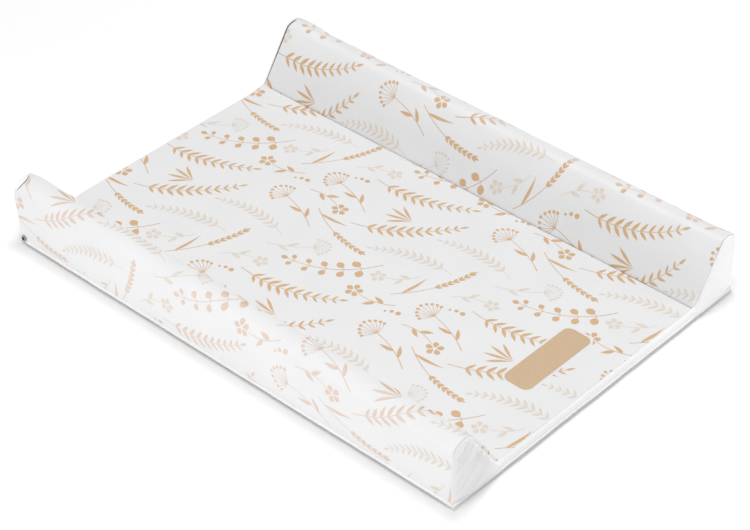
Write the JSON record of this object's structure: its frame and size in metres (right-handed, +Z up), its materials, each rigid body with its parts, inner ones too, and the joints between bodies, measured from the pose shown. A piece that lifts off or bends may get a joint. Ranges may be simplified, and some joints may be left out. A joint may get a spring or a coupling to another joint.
{
  "type": "changing mat",
  "caption": "Flat rectangular changing mat with a stiff base, a padded seat and a raised foam bolster along each long side, skinned in wipe-clean welded foil.",
  "frame": {"origin": "centre of the mat's flat underside, at floor level", "axes": "+Z up, X along the mat from the head end (-X) to the foot end (+X), Y across it from the left bolster (-Y) to the right bolster (+Y)"},
  "size_m": [0.709, 0.519, 0.0895],
  "materials": {
    "printed_foil": "satin",
    "white_foil": "satin",
    "inner_foil": "satin",
    "foam": "matte",
    "hardboard": "matte"
  },
  "bodies": {
    "root": {"base_board": "hardboard", "inner_foil": "inner_foil", "bottom_foil": "white_foil", "seat_foam": "foam", "left_bolster_foam": "foam", "right_bolster_foam": "foam", "printed_cover": "printed_foil", "head_end_panel": "white_foil", "foot_end_panel": "white_foil"}
  },
  "joints": []
}
